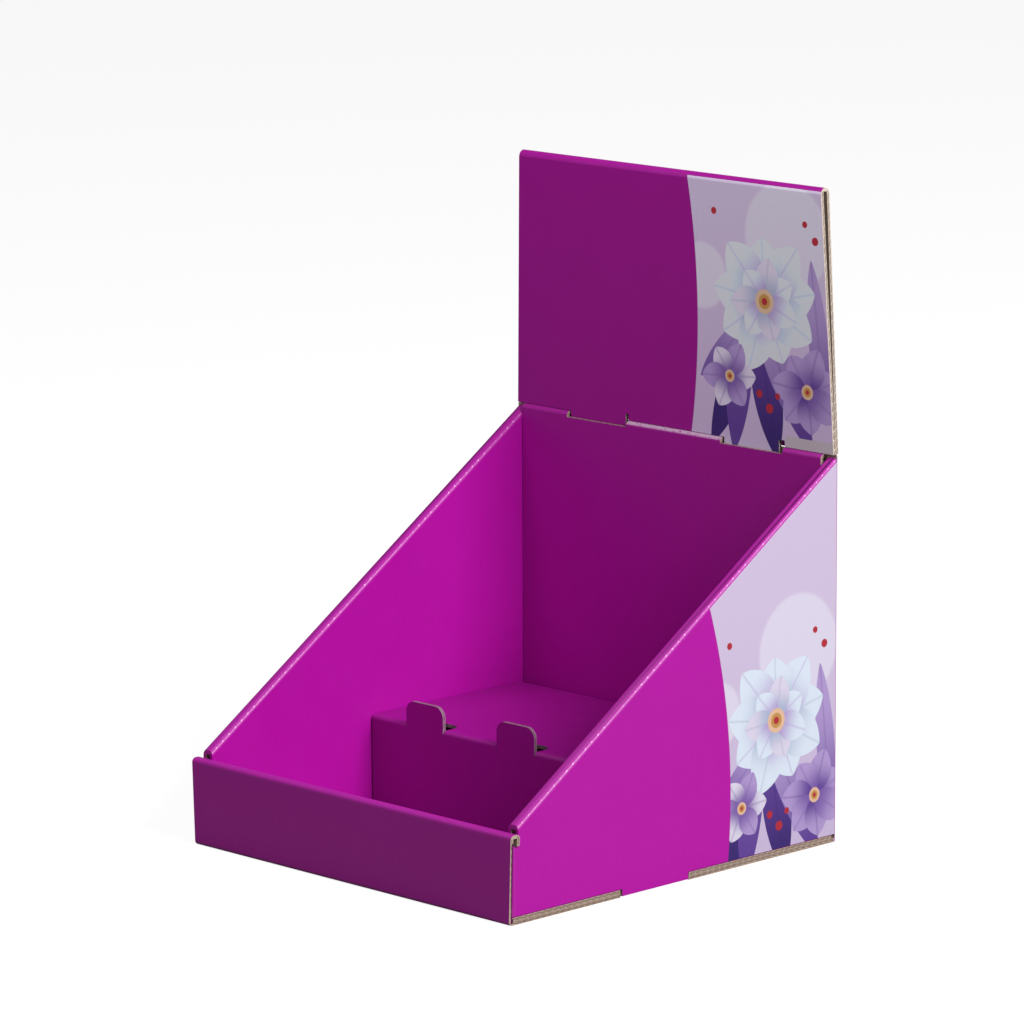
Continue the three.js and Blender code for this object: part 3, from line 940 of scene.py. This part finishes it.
def make_wave_tree():
    tree = bpy.data.node_groups.new("waved_paper", "GeometryNodeTree")
    tree.interface.new_socket("Lines", in_out="INPUT", socket_type="NodeSocketGeometry")
    swing = tree.interface.new_socket("Swing", in_out="INPUT", socket_type="NodeSocketFloat")
    paper = tree.interface.new_socket("Paper", in_out="INPUT", socket_type="NodeSocketMaterial")
    tree.interface.new_socket("Waves", in_out="OUTPUT", socket_type="NodeSocketGeometry")
    given = tree.nodes.new("NodeGroupInput").outputs
    curve = tree.nodes.new("GeometryNodeMeshToCurve")
    tree.links.new(given["Lines"], curve.inputs["Mesh"])
    steps = tree.nodes.new("GeometryNodeResampleCurve")
    steps.mode = "LENGTH"
    steps.inputs["Length"].default_value = WAVE_STEP
    tree.links.new(curve.outputs[0], steps.inputs["Curve"])
    place = split(tree, tree.nodes.new("GeometryNodeInputPosition").outputs[0])
    run = maths(tree, "ADD", maths(tree, "ADD", place[0], place[1]), place[2])
    wave = maths(tree, "SINE", maths(tree, "MULTIPLY", run, 2 * math.pi / FLUTE_PITCH))
    across = tree.nodes.new("GeometryNodeInputNamedAttribute")
    across.data_type = "FLOAT_VECTOR"
    across.inputs["Name"].default_value = "across"
    shift = tree.nodes.new("ShaderNodeVectorMath")
    shift.operation = "SCALE"
    tree.links.new(across.outputs[0], shift.inputs[0])
    tree.links.new(maths(tree, "MULTIPLY", wave, given["Swing"]), shift.inputs["Scale"])
    swung = tree.nodes.new("GeometryNodeSetPosition")
    tree.links.new(steps.outputs[0], swung.inputs["Geometry"])
    tree.links.new(shift.outputs[0], swung.inputs["Offset"])
    ring = tree.nodes.new("GeometryNodeCurvePrimitiveCircle")
    ring.inputs["Resolution"].default_value = PAPER_SIDES
    ring.inputs["Radius"].default_value = PAPER_RADIUS
    body = tree.nodes.new("GeometryNodeCurveToMesh")
    body.inputs["Fill Caps"].default_value = True
    tree.links.new(swung.outputs[0], body.inputs["Curve"])
    tree.links.new(ring.outputs[0], body.inputs["Profile Curve"])
    real = tree.nodes.new("GeometryNodeRealizeInstances")
    tree.links.new(body.outputs[0], real.inputs[0])
    dressed = tree.nodes.new("GeometryNodeSetMaterial")
    tree.links.new(real.outputs[0], dressed.inputs["Geometry"])
    tree.links.new(given["Paper"], dressed.inputs["Material"])
    tree.links.new(dressed.outputs[0], tree.nodes.new("NodeGroupOutput").inputs[0])
    return tree, swing.identifier, paper.identifier


wave_tree, swing_socket, paper_socket = make_wave_tree()
print("waved paper tree has", len(wave_tree.nodes), "nodes")

# %% [markdown]
# The lines of each sheet become one piece. The side that each wave swings to is kept on the points as
# `across`, and the paper is a shade darker than the liners.

# %% Waved paper in the sheets


def make_waved_paper_material(name, colour):
    material = bpy.data.materials.new(name)
    material.use_nodes = True
    tree = material.node_tree
    surface = tree.nodes["Principled BSDF"]
    place = tree.nodes.new("ShaderNodeTexCoord").outputs["Object"]
    fibre = noise(tree, place, 1200.0, 3.0)
    wire(tree, surface.inputs["Base Color"], blend_colours(tree, fibre, DARK_KRAFT_AND_FLUTE_SHADE, colour))
    surface.inputs["Roughness"].default_value = 0.92
    surface.inputs["Specular IOR Level"].default_value = 0.2
    return material


def lay_waved_paper(name, rows, material):
    points = [corner for start, end, across in rows for corner in (start, end)]
    mesh = bpy.data.meshes.new(name)
    mesh.from_pydata(points, [(2 * row, 2 * row + 1) for row in range(len(rows))], [])
    sides = mesh.attributes.new("across", "FLOAT_VECTOR", "POINT")
    for row, (start, end, across) in enumerate(rows):
        sides.data[2 * row].vector = across
        sides.data[2 * row + 1].vector = across
    piece = bpy.data.objects.new(name, mesh)
    bpy.context.scene.collection.objects.link(piece)
    waves = piece.modifiers.new("waves", "NODES")
    waves.node_group = wave_tree
    waves[swing_socket] = WAVE_SWING
    waves[paper_socket] = material
    faces = settle(piece)
    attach(piece, "root")
    print(name, "has", faces, "faces on", len(rows), "runs")


fluting = make_waved_paper_material("fluting", KRAFT)
for name, rows, slot in (
    ("tray_fluting", tray_flutes, "tray_board"),
    ("step_fluting", step_flutes, "riser_board"),
    ("header_fluting", header_flutes, "header_board"),
):
    lay_waved_paper(name, rows, fluting)
